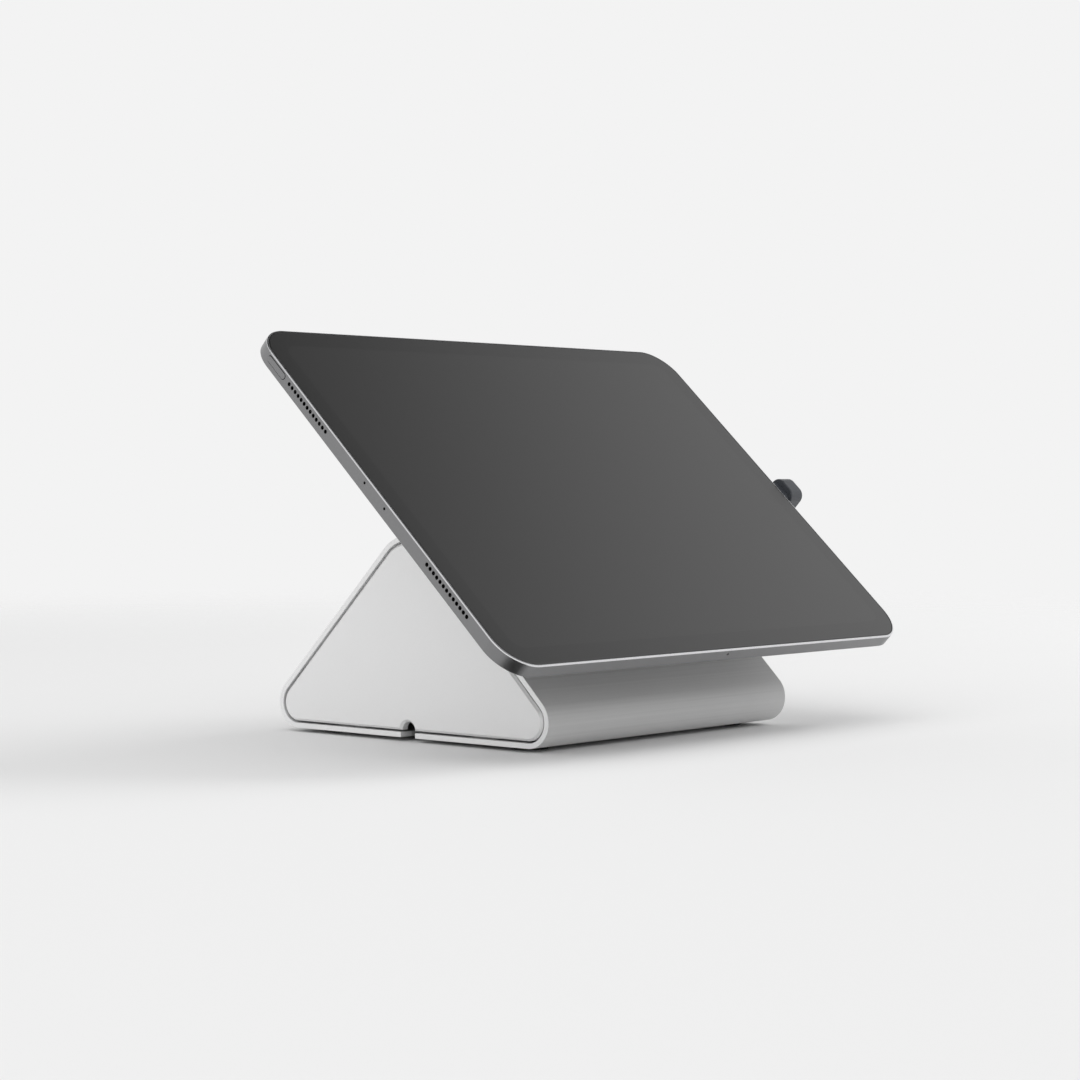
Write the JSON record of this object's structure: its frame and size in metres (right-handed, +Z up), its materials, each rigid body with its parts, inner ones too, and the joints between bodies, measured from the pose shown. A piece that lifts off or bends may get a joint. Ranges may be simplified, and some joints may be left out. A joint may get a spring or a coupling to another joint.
{
  "type": "tablet kiosk stand",
  "caption": "Counter-top stand that holds a slim tablet on a friction tilt hinge above a triangular metal base, with cable arches in its side panels and a right-angle charging plug.",
  "frame": {"origin": "middle of the base shell's underside, at half its width and half its depth", "axes": "+X along the width to the right as seen from the front, -Y towards the front, +Z up"},
  "size_m": [0.2598, 0.1684, 0.1573],
  "materials": {
    "shell": "satin anodised",
    "panel": "matte anodised",
    "screw": "plain steel",
    "ballast": "plain steel",
    "foot": "matte rubber",
    "hinge": "silver powder coat",
    "pin": "ground steel",
    "friction": "plain",
    "bush": "self-lubricating plastic",
    "pad": "foam adhesive",
    "housing": "fine matte anodised grey",
    "gasket": "matte",
    "glass": "polished, dark behind",
    "display": "dark, switched off",
    "battery": "wrapped cell",
    "board": "solder mask",
    "module": "matte",
    "contact": "plated",
    "lens": "polished dark",
    "plug": "dark satin"
  },
  "bodies": {
    "base": {"base_shell": "shell", "left_side_panel": "panel", "right_side_panel": "panel", "panel_screws": "screw", "ballast_plate": "ballast", "ballast_screws": "screw", "front_left_foot": "foot", "front_right_foot": "foot", "rear_left_foot": "foot", "rear_right_foot": "foot", "hinge_bracket": "hinge", "backing_plate": "ballast", "bracket_screws": "screw", "hinge_pin": "pin", "hinge_nut": "pin", "disc_springs": "pin", "left_friction_washer": "friction", "right_friction_washer": "friction"},
    "tablet": {"mounting_plate": "hinge", "hinge_bush": "bush", "adhesive_pad": "pad", "tablet_housing": "housing", "glass_gasket": "gasket", "cover_glass": "glass", "display_panel": "display", "left_battery": "battery", "right_battery": "battery", "logic_board": "board", "upper_left_speaker": "module", "lower_left_speaker": "module", "upper_right_speaker": "module", "lower_right_speaker": "module", "power_switch": "module", "volume_switch": "module", "usb_socket": "contact", "camera_ring": "housing", "camera_lens": "lens", "plug_contact_shell": "contact", "plug_body": "plug"},
    "power_button": {"power_button": "housing"},
    "volume_up_button": {"volume_up_button": "housing"},
    "volume_down_button": {"volume_down_button": "housing"}
  },
  "joints": [
    {"name": "screen_tilt", "type": "hinge", "parent": "base", "child": "tablet", "pos_m": [0, -0.02015, 0.08206], "axis": [1, 0, 0], "range_deg": [-23, 12]},
    {"name": "power_button_press", "type": "slide", "parent": "tablet", "child": "power_button", "axis": [1, 0, 0], "range_m": [0, 0.00035], "stiffness_N_per_m": 3000},
    {"name": "volume_up_button_press", "type": "slide", "parent": "tablet", "child": "volume_up_button", "axis": [0, -0.7314, -0.682], "range_m": [0, 0.00035], "stiffness_N_per_m": 3000},
    {"name": "volume_down_button_press", "type": "slide", "parent": "tablet", "child": "volume_down_button", "axis": [0, -0.7314, -0.682], "range_m": [0, 0.00035], "stiffness_N_per_m": 3000}
  ]
}
